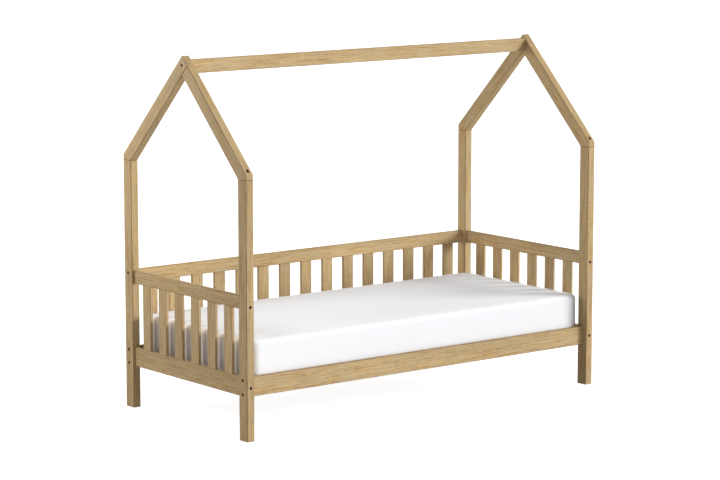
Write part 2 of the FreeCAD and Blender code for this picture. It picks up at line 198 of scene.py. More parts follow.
class BedHardwareSettings(bpy.types.PropertyGroup):
    """Sizes and colours of the metal fittings."""

    head: length_setting(
        "Head diameter", "Diameter of a cap screw's head", 0.013, 0.004, 0.02)
    head_high: length_setting("Head height", "Height of a cap screw's head", 0.006, 0.002, 0.02)
    key: length_setting("Key size", "Hex socket, across its flats", 0.005, 0.002, 0.01)
    shank: length_setting(
        "Thread diameter", "Diameter of a cap screw's thread", 0.006, 0.002, 0.012)
    black: colour_setting(
        "Blackened steel", "Colour of the cap screws", (0.018, 0.013, 0.009))
    zinc: colour_setting("Zinc", "Colour of the nuts and wood screws", (0.62, 0.62, 0.60))


class BedSheetSettings(bpy.types.PropertyGroup):
    """The mattress and its fitted sheet."""

    white: colour_setting("Sheet", "Colour of the fitted sheet", (0.88, 0.888, 0.912))
    ticking: colour_setting("Ticking", "Colour of the mattress cover", (0.80, 0.79, 0.76))
    webbing: colour_setting(
        "Webbing", "Colour of the straps under the base", (0.70, 0.68, 0.62))
    corner: length_setting(
        "Corner radius", "Rounding of the corners seen from above", 0.050, 0.02, 0.1)
    roll: length_setting("Edge radius", "Rounding of the upper edges", 0.022, 0.005, 0.04)
    under_roll: length_setting(
        "Lower edge radius", "Rounding of the lower edges", 0.028, 0.005, 0.06)
    slack: bpy.props.FloatVectorProperty(
        name="Slack", description="Room left free at the left end and at the back",
        subtype="XYZ", unit="LENGTH", size=2, min=0, max=0.1, default=(0.010, 0.032))
    draw: length_setting(
        "Draw", "How far each side draws in between its corners", 0.003, 0, 0.02)
    crown: length_setting(
        "Crown", "How far the middle of the top stands above its edge", 0.006, 0, 0.03)
    tuck: length_setting(
        "Tuck", "How far the sheet reaches under the mattress", 0.09, 0.03, 0.2)
    crease: length_setting(
        "Crease depth", "Height of the sheet's creases near its corners", 0.0009, 0, 0.004)


class BedStageSettings(bpy.types.PropertyGroup):
    """Camera, floor and light."""

    camera_place: place_setting(
        "Camera", "Place of the camera", (-7.83735, -10.02685, 2.718455))
    camera_turn: angle_setting("Turn", "Turn of the camera about the upright", -0.6621)
    camera_tilt: angle_setting("Tilt", "Tilt of the camera, negative downwards", -0.1531)
    lens: bpy.props.FloatProperty(
        name="Lens", description="Focal length on a sensor 36 mm wide", min=20, max=400,
        default=134.52)
    floor: colour_setting("Floor", "Colour of the floor", (0.54, 0.54, 0.54))
    floor_lift: strength_setting(
        "Floor lift", "Light added to the floor for the camera alone", 0.86, 1)
    key: strength_setting("Key light", "Strength of the key light", 3.80, 20)
    key_width: angle_setting("Key width", "Angle that the key light fills", math.radians(24))
    key_turn: angle_setting(
        "Key turn", "Direction of the key light, from the front to the right",
        math.radians(56))
    key_height: angle_setting(
        "Key height", "Height of the key light above the floor's plane", math.radians(15))
    top_light: strength_setting(
        "Top light", "Strength of the broad light overhead", 0.60, 5)
    top_width: angle_setting(
        "Top light width", "Angle that the top light fills", math.radians(100))
    panel: bpy.props.FloatProperty(
        name="Light panel", description="Power of the light panel behind the left end",
        subtype="POWER", unit="POWER", min=0, max=1000, default=48)
    panel_place: place_setting("Panel place", "Place of the light panel", (-2.8, 1.9, 1.9))
    panel_size: length_setting("Panel size", "Side of the square light panel", 1.0, 0.1, 5)
    fill: strength_setting("Fill light", "Strength of the light from all round", 0.30, 5)


# ------------------------------------------------------------------ node trees
def link(tree, source, target):
    tree.links.new(source, target)


def put_in(tree, target, value):
    """Link a socket to an input, or set the input to a number or a tuple."""
    if isinstance(value, bpy.types.NodeSocket):
        link(tree, value, target)
    else:
        target.default_value = value


def new_node(tree, kind, **values):
    node = tree.nodes.new(kind)
    for name, value in values.items():
        setattr(node, name, value)
    return node


def maths(tree, operation, first, second=None, third=None, clamp=False):
    node = new_node(tree, "ShaderNodeMath", operation=operation, use_clamp=clamp)
    for target, value in zip(node.inputs, (first, second, third)):
        if value is not None:
            put_in(tree, target, value)
    return node.outputs[0]


def vector_maths(tree, operation, first, second=None, output="Vector"):
    node = new_node(tree, "ShaderNodeVectorMath", operation=operation)
    for target, value in zip(node.inputs, (first, second)):
        if value is not None:
            put_in(tree, target, value)
    return node.outputs[output]


def split(tree, vector):
    """The three parts of a vector."""
    node = new_node(tree, "ShaderNodeSeparateXYZ")
    link(tree, vector, node.inputs[0])
    return node.outputs


def ramp(tree, value, low, high, to_low=0.0, to_high=1.0):
    """Smooth step of a value from one range to another."""
    node = new_node(tree, "ShaderNodeMapRange", interpolation_type="SMOOTHSTEP")
    for target, entry in zip(("Value", "From Min", "From Max", "To Min", "To Max"),
                             (value, low, high, to_low, to_high)):
        put_in(tree, node.inputs[target], entry)
    return node.outputs["Result"]


def speckle(tree, vector, scale, detail=2.0, rough=0.5):
    """Noise with its own number of grains per metre along each axis."""
    node = new_node(tree, "ShaderNodeTexNoise")
    link(tree, vector_maths(tree, "MULTIPLY", vector, scale), node.inputs["Vector"])
    node.inputs["Scale"].default_value = 1.0
    node.inputs["Detail"].default_value = detail
    node.inputs["Roughness"].default_value = rough
    return node.outputs["Fac"]


def mixed(tree, factor, first, second):
    """Mix of two colours."""
    node = new_node(tree, "ShaderNodeMix", data_type="RGBA")
    colours = [s for s in node.inputs if s.type == "RGBA"]
    for target, value in ((node.inputs["Factor"], factor), (colours[0], first),
                          (colours[1], second)):
        put_in(tree, target, value)
    return next(s for s in node.outputs if s.type == "RGBA")


def toned(tree, colour, level):
    """Colour made paler or darker by a level."""
    node = new_node(tree, "ShaderNodeVectorMath", operation="SCALE")
    link(tree, colour, node.inputs[0])
    link(tree, level, node.inputs["Scale"])
    return node.outputs[0]


def turned(tree, vector, kind, turn, shift=None):
    """Vector turned by an angle about each axis, and a point then shifted."""
    node = new_node(tree, "ShaderNodeMapping", vector_type=kind)
    link(tree, vector, node.inputs["Vector"])
    node.inputs["Rotation"].default_value = turn
    if shift is not None:
        node.inputs["Location"].default_value = shift
    return node.outputs[0]


def object_point(tree):
    return new_node(tree, "ShaderNodeTexCoord").outputs["Object"]


def seen_rays(tree):
    """1 where the camera looks, straight or in metal or glass, and 0 for other light."""
    rays = new_node(tree, "ShaderNodeLightPath").outputs
    behind = maths(tree, "MAXIMUM", rays["Is Glossy Ray"], rays["Is Transmission Ray"])
    return maths(tree, "MAXIMUM", rays["Is Camera Ray"], behind)


def node_group(name, inputs, outputs):
    """Turn a function that fills a node group into one that gives the group, made once."""
    kinds = {"colour": "NodeSocketColor", "value": "NodeSocketFloat", "vector": "NodeSocketVector"}

    def decorate(fill):
        def group():
            if name not in bpy.data.node_groups:
                tree = bpy.data.node_groups.new(name, "ShaderNodeTree")
                for label, kind, default in inputs:
                    socket = tree.interface.new_socket(
                        label, in_out="INPUT", socket_type=kinds[kind])
                    if default is not None:
                        socket.default_value = default
                for label, kind in outputs:
                    tree.interface.new_socket(label, in_out="OUTPUT", socket_type=kinds[kind])
                entry = tree.nodes.new("NodeGroupInput")
                leave = tree.nodes.new("NodeGroupOutput")
                fill(tree, entry.outputs, leave.inputs)
            return bpy.data.node_groups[name]
        return group
    return decorate


SURFACE = [("Colour", "colour"), ("Roughness", "value"), ("Height", "value")]
MASK = [("Mask", "value")]


@node_group("Wood figure", [
    ("Point", "vector", None), ("Normal", "vector", None),
    ("Early", "colour", (0.6, 0.45, 0.25, 1)), ("Late", "colour", (0.45, 0.3, 0.15, 1)),
    ("Warm", "colour", (0.6, 0.4, 0.15, 1)), ("Cool", "colour", (0.45, 0.38, 0.22, 1)),
    ("Pore", "colour", (0.25, 0.16, 0.08, 1)), ("Ring spacing", "value", 0.0075),
    ("Pore share", "value", 0.5), ("Tone", "value", 1.0)], SURFACE)
def wood_group(tree, put, out):
    """Growth rings about a pith, fibres, pores and end grain, with the grain along X."""
    point = put["Point"]
    axes = split(tree, point)
    # Each noise has its grains per metre along and across the grain.
    sway = speckle(tree, point, (1.1, 5.0, 5.0))
    waver = speckle(tree, point, (9.0, 70.0, 70.0))
    out_y = maths(tree, "POWER", axes["Y"], 2.0)
    out_z = maths(tree, "POWER", axes["Z"], 2.0)
    radius = maths(tree, "SQRT", maths(tree, "ADD", out_y, out_z))
    radius = maths(tree, "MULTIPLY_ADD", sway, RING_SWAY, radius)
    radius = maths(tree, "MULTIPLY_ADD", waver, RING_WAVER, radius)
    turns = maths(tree, "DIVIDE", radius, put["Ring spacing"])
    saw = maths(tree, "FRACT", turns)
    rise = ramp(tree, saw, RING_START, RING_PEAK)
    fall = ramp(tree, saw, RING_PEAK, 1.0, 1.0, 0.0)
    ring = maths(tree, "MULTIPLY", rise, fall)
    fibre = speckle(tree, point, (12.0, 420.0, 420.0), 3.0, 0.6)
    streak = speckle(tree, point, (7.0, 130.0, 130.0), 2.0, 0.55)
    wisp = speckle(tree, point, (20.0, 190.0, 190.0), 2.0, 0.55)
    patch = speckle(tree, point, (6.0, 48.0, 48.0))
    cloud = speckle(tree, point, (0.9, 14.0, 14.0))
    pores = speckle(tree, point, (38.0, 1500.0, 1500.0), 1.0, 0.4)
    pore_mask = ramp(tree, pores, 0.60, 0.70)
    pore_mask = maths(tree, "MULTIPLY", pore_mask, put["Pore share"])
    dark = maths(tree, "MULTIPLY", fibre, FIBRE_DARK)
    dark = maths(tree, "MULTIPLY_ADD", ring, RING_DARK, dark)
    dark = maths(tree, "MULTIPLY_ADD", ramp(tree, streak, 0.42, 0.62), STREAK_DARK, dark)
    dark = maths(tree, "SUBTRACT", dark, 0.10, clamp=True)
    colour = mixed(tree, dark, put["Early"], put["Late"])
    colour = mixed(tree, ramp(tree, wisp, 0.48, 0.60, 0.0, GOLD_SHARE), colour, put["Warm"])
    colour = mixed(tree, ramp(tree, patch, 0.46, 0.60, 0.0, OLIVE_SHARE), colour, put["Cool"])
    colour = mixed(tree, pore_mask, colour, put["Pore"])
    level = maths(tree, "MULTIPLY", ramp(tree, cloud, 0.3, 0.7, 0.90, 1.08), put["Tone"])
    end = maths(tree, "ABSOLUTE", split(tree, put["Normal"])["X"])
    end = ramp(tree, end, 0.72, 0.95)
    level = maths(tree, "MULTIPLY", level, maths(tree, "MULTIPLY_ADD", end, -END_DARK, 1.0))
    link(tree, toned(tree, colour, level), out["Colour"])
    rough = maths(tree, "MULTIPLY_ADD", fibre, 0.16, 0.48)
    rough = maths(tree, "MULTIPLY_ADD", pore_mask, 0.12, rough)
    rough = maths(tree, "MULTIPLY_ADD", end, 0.15, rough)
    link(tree, rough, out["Roughness"])
    height = maths(tree, "MULTIPLY_ADD", ring, 0.25, maths(tree, "MULTIPLY", fibre, 0.35))
    height = maths(tree, "SUBTRACT", height, maths(tree, "MULTIPLY", pore_mask, 0.9))
    link(tree, height, out["Height"])


@node_group("Joint shade line", [
    ("Point", "vector", None), ("Plane", "vector", None), ("Distance", "value", 0.0),
    ("Width", "value", 0.002), ("Depth", "value", 0.7)], MASK)
def joint_shade_group(tree, put, out):
    """Painted shade: a dark line in the eased groove where two pieces meet at a plane."""
    along = vector_maths(tree, "DOT_PRODUCT", put["Point"], put["Plane"], "Value")
    off = maths(tree, "ABSOLUTE", maths(tree, "SUBTRACT", along, put["Distance"]))
    near = ramp(tree, maths(tree, "DIVIDE", off, put["Width"]), 0.6, 1.1, 1.0, 0.0)
    link(tree, maths(tree, "MULTIPLY", near, put["Depth"]), out["Mask"])


@node_group("Bore shade", [
    ("Point", "vector", None), ("Seat", "vector", None), ("Axis", "vector", None),
    ("Radius", "value", 0.007), ("Depth", "value", 0.9)], MASK)
def bore_group(tree, put, out):
    """Painted shade on the wall and rim of a round hole; the axis runs into the wood from the
    seat.
    """
    reach = vector_maths(tree, "SUBTRACT", put["Point"], put["Seat"])
    along = vector_maths(tree, "DOT_PRODUCT", reach, put["Axis"], "Value")
    across = vector_maths(tree, "CROSS_PRODUCT", reach, put["Axis"])
    off = vector_maths(tree, "LENGTH", across, output="Value")
    near = ramp(tree, maths(tree, "DIVIDE", off, put["Radius"]), 1.0, 1.12, 1.0, 0.0)
    above = ramp(tree, along, *BORE_FADE, 1.0, 0.0)
    mask = maths(tree, "MULTIPLY", near, above)
    link(tree, maths(tree, "MULTIPLY", mask, put["Depth"]), out["Mask"])


@node_group("Edge line", [
    ("Point", "vector", None), ("Half width", "value", 0.03), ("Half depth", "value", 0.02),
    ("Width", "value", 0.003), ("Depth", "value", 0.5)], MASK)
def edge_group(tree, put, out):
    """Darker wood along the four long edges of a bar that is centred on its grain."""
    axes = split(tree, put["Point"])
    gaps = [maths(tree, "SUBTRACT", put[half], maths(tree, "ABSOLUTE", axes[axis]))
            for axis, half in (("Y", "Half width"), ("Z", "Half depth"))]
    gap = maths(tree, "MAXIMUM", gaps[0], gaps[1])
    uneven = speckle(tree, put["Point"], (14.0, 90.0, 90.0), 3.0, 0.6)
    reach = maths(tree, "MULTIPLY", put["Width"], maths(tree, "ADD", uneven, 0.5))
    near = ramp(tree, maths(tree, "DIVIDE", gap, reach), 0.45, 1.1, 1.0, 0.0)
    link(tree, maths(tree, "MULTIPLY", near, put["Depth"]), out["Mask"])


@node_group("Plain weave", [
    ("Point", "vector", None), ("Cloth", "colour", (0.85, 0.85, 0.86, 1)),
    ("Thread", "value", 0.0006), ("Contrast", "value", 0.06)], SURFACE)
def cloth_group(tree, put, out):
    """Plain weave of crossing threads with uneven yarn; the threads follow X, Y and Z."""
    axes = split(tree, put["Point"])
    waves = []
    for axis in "XYZ":
        turn = maths(tree, "DIVIDE", axes[axis], put["Thread"])
        waves.append(maths(tree, "SINE", maths(tree, "MULTIPLY", turn, math.pi)))
    weave = maths(tree, "MULTIPLY", waves[0], waves[1])
    weave = maths(tree, "MULTIPLY_ADD", waves[2], maths(tree, "ADD", waves[0], waves[1]), weave)
    weave = ramp(tree, weave, -1.6, 1.6)
    yarn = speckle(tree, put["Point"], (900.0, 900.0, 900.0))
    slub = speckle(tree, put["Point"], (6.0, 6.0, 6.0), 3.0, 0.6)
    shade = maths(tree, "MULTIPLY_ADD", weave, 0.6, maths(tree, "MULTIPLY", yarn, 0.4))
    shade = maths(tree, "MULTIPLY", shade, put["Contrast"])
    shade = maths(tree, "SUBTRACT", maths(tree, "MULTIPLY_ADD", slub, 0.03, 1.0), shade)
    link(tree, toned(tree, put["Cloth"], shade), out["Colour"])
    link(tree, maths(tree, "MULTIPLY_ADD", yarn, 0.15, 0.76), out["Roughness"])
    link(tree, maths(tree, "MULTIPLY_ADD", weave, 0.7, maths(tree, "MULTIPLY", slub, 0.3)),
         out["Height"])


@node_group("Metal finish", [
    ("Point", "vector", None), ("Metal", "colour", (0.5, 0.5, 0.5, 1)),
    ("Base roughness", "value", 0.35)], SURFACE)
def metal_group(tree, put, out):
    """Fine scratches and handling marks on a metal finish."""
    grit = speckle(tree, put["Point"], (1800.0, 1800.0, 1800.0), 3.0, 0.6)
    marks = speckle(tree, put["Point"], (220.0, 220.0, 220.0), 3.0, 0.55)
    level = ramp(tree, marks, 0.3, 0.75, 0.85, 1.2)
    link(tree, toned(tree, put["Metal"], level), out["Colour"])
    rough = maths(tree, "MULTIPLY_ADD", marks, 0.22, put["Base roughness"])
    link(tree, maths(tree, "MULTIPLY_ADD", grit, 0.08, rough), out["Roughness"])
    link(tree, grit, out["Height"])


def new_material(name, group, bump_depth, bump_strength):
    """Material around a node group: (material, tree, group node, shader)."""
    material = bpy.data.materials.new(name)
    material.use_nodes = True
    tree = material.node_tree
    shader = tree.nodes["Principled BSDF"]
    holder = new_node(tree, "ShaderNodeGroup", node_tree=group)
    bump = new_node(tree, "ShaderNodeBump")
    bump.inputs["Strength"].default_value = bump_strength
    bump.inputs["Distance"].default_value = bump_depth
    link(tree, holder.outputs["Colour"], shader.inputs["Base Color"])
    link(tree, holder.outputs["Roughness"], shader.inputs["Roughness"])
    link(tree, holder.outputs["Height"], bump.inputs["Height"])
    link(tree, bump.outputs["Normal"], shader.inputs["Normal"])
    return material, tree, holder, shader


def rgba(colour):
    return (*colour, 1.0)


def darken(tree, group, values, colour):
    """Mix a colour over a material's own through the mask of a group, its inputs by name."""
    node = new_node(tree, "ShaderNodeGroup", node_tree=group)
    for name, value in values.items():
        put_in(tree, node.inputs[name], value)
    base = tree.nodes["Principled BSDF"].inputs["Base Color"]
    link(tree, mixed(tree, node.outputs["Mask"], base.links[0].from_socket, rgba(colour)), base)


def wood_material(name, middle, turn, colours, ring, pore_share, joints=()):
    """Wood for one piece, cut from its own place in its own tree."""
    wood = bpy.context.scene.bed_wood
    chance = random.Random(name)
    material, tree, figure, shader = new_material(
        "Wood " + name, wood_group(), bump_depth=0.0004, bump_strength=0.35)
    where = new_node(tree, "ShaderNodeTexCoord").outputs
    pith = Vector((chance.uniform(0, 40), chance.choice((-1, 1)) * chance.uniform(*PITH_OFF),
                   chance.choice((-1, 1)) * chance.uniform(*PITH_OFF)))
    tilt = Euler((turn.x, turn.y + chance.uniform(-GRAIN_SLOPE, GRAIN_SLOPE),
                  turn.z + chance.uniform(-GRAIN_SLOPE, GRAIN_SLOPE)))
    point = turned(tree, where["Object"], "POINT", tilt, pith - tilt.to_matrix() @ middle)
    # tone of the piece, partly painted light: the picked draw makes the front left post darker and
    # the right posts paler
    tone = random.Random("%s %d" % (name, wood.tone_and_shade_draw)).uniform(-1, 1)
    values = {"Point": point, "Normal": turned(tree, where["Normal"], "NORMAL", turn),
              "Ring spacing": ring * chance.uniform(*RING_SPREAD), "Pore share": pore_share,
              "Tone": MEAN_TONE + wood.tone_spread * tone}
    for label, colour in zip(("Early", "Late", "Warm", "Cool", "Pore"), colours):
        values[label] = rgba(colour)
    for label, value in values.items():
        put_in(tree, figure.inputs[label], value)
    # painted shade lines in the grooves where pieces meet and along the rail's top
    for plane, distance, width, share in joints:
        darken(tree, joint_shade_group(), {
            "Point": where["Object"], "Plane": plane, "Distance": distance, "Width": width,
            "Depth": wood.joint * share}, colours[-1])
    shader.inputs["Specular IOR Level"].default_value = MATT
    return material


def simple_material(name, group, colour_input, colour, bump_depth, bump_strength):
    material, tree, holder, shader = new_material(name, group, bump_depth, bump_strength)
    link(tree, object_point(tree), holder.inputs["Point"])
    holder.inputs[colour_input].default_value = rgba(colour)
    return material, holder, shader


def steel_material(name, colour, roughness, metallic):
    material, finish, shader = simple_material(name, metal_group(), "Metal", colour, 0.00005, 0.3)
    finish.inputs["Base roughness"].default_value = roughness
    shader.inputs["Metallic"].default_value = metallic
    return material


def cloth_material(name, colour, thread, contrast, depth, sheen):
    material, weave, shader = simple_material(name, cloth_group(), "Cloth", colour, depth, 0.5)
    weave.inputs["Thread"].default_value = thread
    weave.inputs["Contrast"].default_value = contrast
    shader.inputs["Sheen Weight"].default_value = sheen
    shader.inputs["Sheen Roughness"].default_value = 0.5
    shader.inputs["Specular IOR Level"].default_value = 0.2
    return material


def edge_lines(material, node, turn, colour):
    """Darken a bar along its long edges; its section is read from the turned mesh."""
    wood = bpy.context.scene.bed_wood
    tree = material.node_tree
    points = np.array([turn.to_matrix() @ v.co for v in NODES[node].data.vertices])
    low, high = points.min(0), points.max(0)
    darken(tree, edge_group(), {
        "Point": turned(tree, object_point(tree), "POINT", turn, -(low + high) / 2),
        "Half width": (high[1] - low[1]) / 2, "Half depth": (high[2] - low[2]) / 2,
        "Width": wood.edge, "Depth": wood.edge_depth}, colour)


def shade_bore(top, direction):
    """Paint shade into the hole around a bolt's head in whichever pieces of the frame it is cut.
    """
    wood = bpy.context.scene.bed_wood
    for node, obj in NODES.items():
        low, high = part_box(node)
        inside = all(low[n] - BORE_REACH < top[n] < high[n] + BORE_REACH for n in range(3))
        if not inside or not node.endswith(("_post", "_rafter")):
            continue
        tree = obj.data.materials[0].node_tree
        darken(tree, bore_group(), {
            "Point": object_point(tree), "Seat": top, "Axis": direction,
            "Radius": wood.bore_radius}, wood.bore)


def dress(node, material):
    """Give a CAD node its material."""
    mesh = NODES[node].data
    if not mesh.materials:
        mesh.materials.append(material)
    for index in range(len(mesh.materials)):
        mesh.materials[index] = material


def frame_wood(context, node, turn, joints=()):
    """Frame wood for one node, with the lines of painted shade given for its joints."""
    wood = context.scene.bed_wood
    low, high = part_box(node)
    colours = (wood.early, wood.late, wood.warm, wood.cool, wood.pore)
    material = wood_material(node, (low + high) / 2, turn, colours, wood.ring,
                             pore_share=0.75, joints=joints)
    edge_lines(material, node, turn, wood.pore)
    dress(node, material)


def base_wood(context, node, turn, ring):
    """Paler wood for a node under the mattress or inside a joint."""
    wood = context.scene.bed_wood
    low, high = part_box(node)
    early, late = wood.base_early, wood.base_late
    colours = (early, late, early, early, late)
    dress(node, wood_material(node, (low + high) / 2, turn, colours, ring, pore_share=0.1))


# ------------------------------------------------------------------ mesh work
def mesh_object(name, verts, faces, material, smooth=True):
    """Mesh of one material, put into the scene."""
    mesh = bpy.data.meshes.new(name)
    mesh.from_pydata([tuple(v) for v in verts], [], faces)
    mesh.validate()
    mesh.materials.append(material)
    for polygon in mesh.polygons:
        polygon.use_smooth = smooth
    obj = bpy.data.objects.new(name, mesh)
    bpy.context.scene.collection.objects.link(obj)
    return obj


def islands(node):
    """The separate solids of a group as arrays of points, in the same order each run."""
    work = bmesh.new()
    work.from_mesh(NODES[node].data)
    bmesh.ops.remove_doubles(work, verts=work.verts, dist=SAME_POINT)
    left, found = dict.fromkeys(work.verts), []
    while left:
        stack, seen = [left.popitem()[0]], []
        while stack:
            vert = stack.pop()
            seen.append(vert)
            for edge in vert.link_edges:
                other = edge.other_vert(vert)
                if other in left:
                    del left[other]
                    stack.append(other)
        found.append(np.array([v.co[:] for v in seen]))
    work.free()
    return found


def screw_places(node, shank):
    """For each cap screw of a node: the middle of its head's top, its direction, its length."""
    places = []
    for points in islands(node):
        centre = points.mean(0)
        axis = np.linalg.svd(points - centre, full_matrices=False)[2][0]
        along = (points - centre) @ axis
        off = np.linalg.norm(points - centre - np.outer(along, axis), axis=1)
        if along[off > shank * HEAD_FROM].mean() > (along.max() + along.min()) / 2:
            axis, along = -axis, -along
        top = points[along < along.min() + SAME_LEVEL].mean(0)
        places.append((Vector(top), Vector(axis), np.ptp(along)))
    return places


def cap_screw_shape(hardware, length):
    """Cap screw along +Z from the top of its head: socket, eased rim, ribbed side, thread."""
    sides = SCREW_SIDES
    rim, high = hardware.head / 2, hardware.head_high
    core, hexagon = hardware.shank / 2, hardware.key / math.sqrt(3)

    def six(radius):
        flats = []
        for side in range(sides):
            angle = (2 * math.pi * side / sides) % (math.pi / 3) - math.pi / 6
            flats.append(radius * math.cos(math.pi / 6) / math.cos(angle))
        return flats

    ribs = [rim - (HEAD_RIB if side % 2 else 0) for side in range(sides)]
    profile = [  # radii around the axis, depth from the head's top
        (six(hexagon * 0.96), high * SOCKET_DEPTH),
        (six(hexagon), 0.0004),
        (six(hexagon * 1.06), 0.0),
        ([rim - 0.0008] * sides, 0.0),
        ([rim - 0.0003] * sides, 0.0002),
        ([rim] * sides, 0.0007),
        (ribs, 0.0012),
        (ribs, high - 0.0006),
        ([rim - 0.0003] * sides, high),
        ([core * THREAD_CREST] * sides, high),
    ]
    turns = max(4, int((length - high) / THREAD_STEP))
    for step in range(1, turns):
        profile.append(([core * (THREAD_CREST if step % 2 else THREAD_ROOT)] * sides,
                        high + (length - high) * step / turns))
    profile.append(([core * THREAD_TIP] * sides, length))
    verts, faces = [], []
    for radii, depth in profile:
        for side, radius in enumerate(radii):
            angle = 2 * math.pi * side / sides
            verts.append(Vector((radius * math.cos(angle), radius * math.sin(angle), depth)))
    last = len(verts) - sides
    for first in range(0, last, sides):
        for side in range(sides):
            other = (side + 1) % sides
            faces.append((first + side, first + sides + side, first + sides + other,
                          first + other))
    faces.append(tuple(range(sides)))
    faces.append(tuple(last + side for side in reversed(range(sides))))
    return verts, faces


def rounded_ring(params, half_x, half_y, radius, middle, z):
    """Points of a rounded rectangle at the given shares of its width and length."""
    points = []
    for share_x, share_y in params:
        x, y = share_x * half_x, share_y * half_y
        over_x, over_y = abs(x) - (half_x - radius), abs(y) - (half_y - radius)
        if over_x > 0 and over_y > 0:
            reach = max(over_x, over_y)
            size = math.hypot(over_x, over_y)
            x = math.copysign(half_x - radius + over_x / size * reach, x)
            y = math.copysign(half_y - radius + over_y / size * reach, y)
        points.append(Vector((x + middle.x, y + middle.y, z)))
    return points


def soft_bounds(settings):
    """Box of the mattress, less the room that is left free beside it."""
    return (MATTRESS_LOW + Vector((settings.slack[0], 0, 0)),
            MATTRESS_HIGH - Vector((0, settings.slack[1], 0)))


def soft_block(settings, inset, bottom, top, spacing, tuck=None):
    """Mattress form as (points, faces): crowned top, rolled edges, drawn-in sides.

    It is closed underneath, or with a tuck it ends that far under the lower edge.
    """
    low, high = soft_bounds(settings)
    middle = Vector(((low.x + high.x) / 2, (low.y + high.y) / 2, 0))
    roll, under = settings.roll - inset, settings.under_roll - inset
    flat_x = (high.x - low.x) / 2 - inset - roll
    flat_y = (high.y - low.y) / 2 - inset - roll
    corner = settings.corner - settings.roll
    count_x = 2 * round(flat_x / spacing)
    count_y = 2 * round(flat_y / spacing)

    def shares(count, flat):
        """Grid lines from -1 to 1, three of them across the rounding at each end."""
        end = 1 - corner / flat
        rim = (corner / flat) * RIM_SHARES
        return np.concatenate((-end - rim, np.linspace(-end, end, count - 5), end + rim[::-1]))

    xs, ys = shares(count_x, flat_x), shares(count_y, flat_y)
    grid = [(x, y) for y in ys for x in xs]
    wide, deep = len(xs), len(ys)
    verts = rounded_ring(grid, flat_x, flat_y, corner, middle, top)
    faces = []
    for row in range(deep - 1):
        for col in range(wide - 1):
            a = row * wide + col
            faces.append((a, a + 1, a + wide + 1, a + wide))
    edge = list(range(wide)) + [r * wide + wide - 1 for r in range(1, deep)]
    edge += [(deep - 1) * wide + c for c in range(wide - 2, -1, -1)]
    edge += [r * wide for r in range(deep - 2, 0, -1)]
    params = [grid[n] for n in edge]
    levels = [(roll * math.sin(lean), top - roll * (1 - math.cos(lean)))
              for lean in QUARTER_TURN[1:]]
    upright = top - bottom - roll - under
    rows = max(2, round(upright / spacing))
    levels += [(roll, top - roll - upright * step / rows) for step in range(1, rows)]
    levels += [(roll - under * (1 - math.cos(lean)), bottom + under * (1 - math.sin(lean)))
               for lean in QUARTER_TURN]
    if tuck:
        levels += [(roll - under - tuck * step / TUCK_ROWS, bottom)
                   for step in range(1, TUCK_ROWS + 1)]
    previous = edge
    for out, z in levels:
        start = len(verts)
        radius = max(corner + out, LEAST_CORNER)
        verts += rounded_ring(params, flat_x + out, flat_y + out, radius, middle, z)
        current = list(range(start, len(verts)))
        for n in range(len(edge)):
            after = (n + 1) % len(edge)
            faces.append((previous[n], current[n], current[after], previous[after]))
        previous = current
    if not tuck:
        back = dict(zip(edge, previous))
        below = rounded_ring(grid, flat_x + out, flat_y + out, radius, middle, bottom)
        for n, point in enumerate(below):
            if n not in back:
                back[n] = len(verts)
                verts.append(point)
        for row in range(deep - 1):
            for col in range(wide - 1):
                a = row * wide + col
                faces.append(tuple(back[n] for n in (a, a + wide, a + wide + 1, a + 1)))
    half_x, half_y = (high.x - low.x) / 2, (high.y - low.y) / 2
    for vert in verts:
        x, y = (vert.x - middle.x) / half_x, (vert.y - middle.y) / half_y
        rim = min((1 - abs(x)) * half_x, (1 - abs(y)) * half_y) - settings.roll
        if vert.z > top - SAME_POINT:
            climb = min(max(rim, 0) / (half_y * CROWN_REACH), 1)
            vert.z += settings.crown * math.sin(climb * math.pi / 2)
        vert.x -= settings.draw * x * (1 - y * y)
        vert.y -= settings.draw * y * (1 - x * x)
    return verts, faces


def crease_height(point, low, high, depth):
    """Creases of a stretched sheet: fans from the corners and ripples above the hem."""
    to_x = min(point.x - low.x, high.x - point.x)
    to_y = min(point.y - low.y, high.y - point.y)
    corner = math.hypot(max(to_x, 0), max(to_y, 0))
    fan = math.atan2(max(to_y, 0) + 0.01, max(to_x, 0) + 0.01)
    ripple = math.sin(fan * FAN_FOLDS + 3 * noise.noise(point * 5))
    ripple *= math.exp(-corner / FAN_REACH) * min(1.0, corner / FAN_START)
    above = max(point.z - low.z, 0)
    along = point.x if to_y < to_x else point.y
    hem = math.sin(along * HEM_FOLDS + 5 * noise.noise(point * 4)) * math.exp(-above / HEM_REACH)
    slack = noise.noise(Vector((point.x * 2.2, point.y * 4, point.z * 6)))
    return depth * (ripple + HEM_SHARE * hem + SLACK_SHARE * slack)


# ------------------------------------------------------------------ operators
class BED_OT_posts(bpy.types.Operator):
    """Finish the four corner posts"""

    bl_idname = "bed.posts"
    bl_label = "Posts"

    def execute(self, context):
        for node in NODES:
            if node.endswith("_post"):
                frame_wood(context, node, ALONG_Z, (EAVE_JOINT_SHADE,))
        return {"FINISHED"}


class BED_OT_roof(bpy.types.Operator):
    """Finish the rafters and the ridge beam"""

    bl_idname = "bed.roof"
    bl_label = "Rafters and ridge"

    def execute(self, context):
        for side in ("left", "right"):
            frame_wood(context, "front_%s_rafter" % side, ALONG_FRONT_SLOPE,
                       (EAVE_JOINT_SHADE, PEAK_JOINT_SHADE))
            frame_wood(context, "rear_%s_rafter" % side, ALONG_REAR_SLOPE, (EAVE_JOINT_SHADE,))
        frame_wood(context, "ridge_beam", ALONG_X)
        return {"FINISHED"}


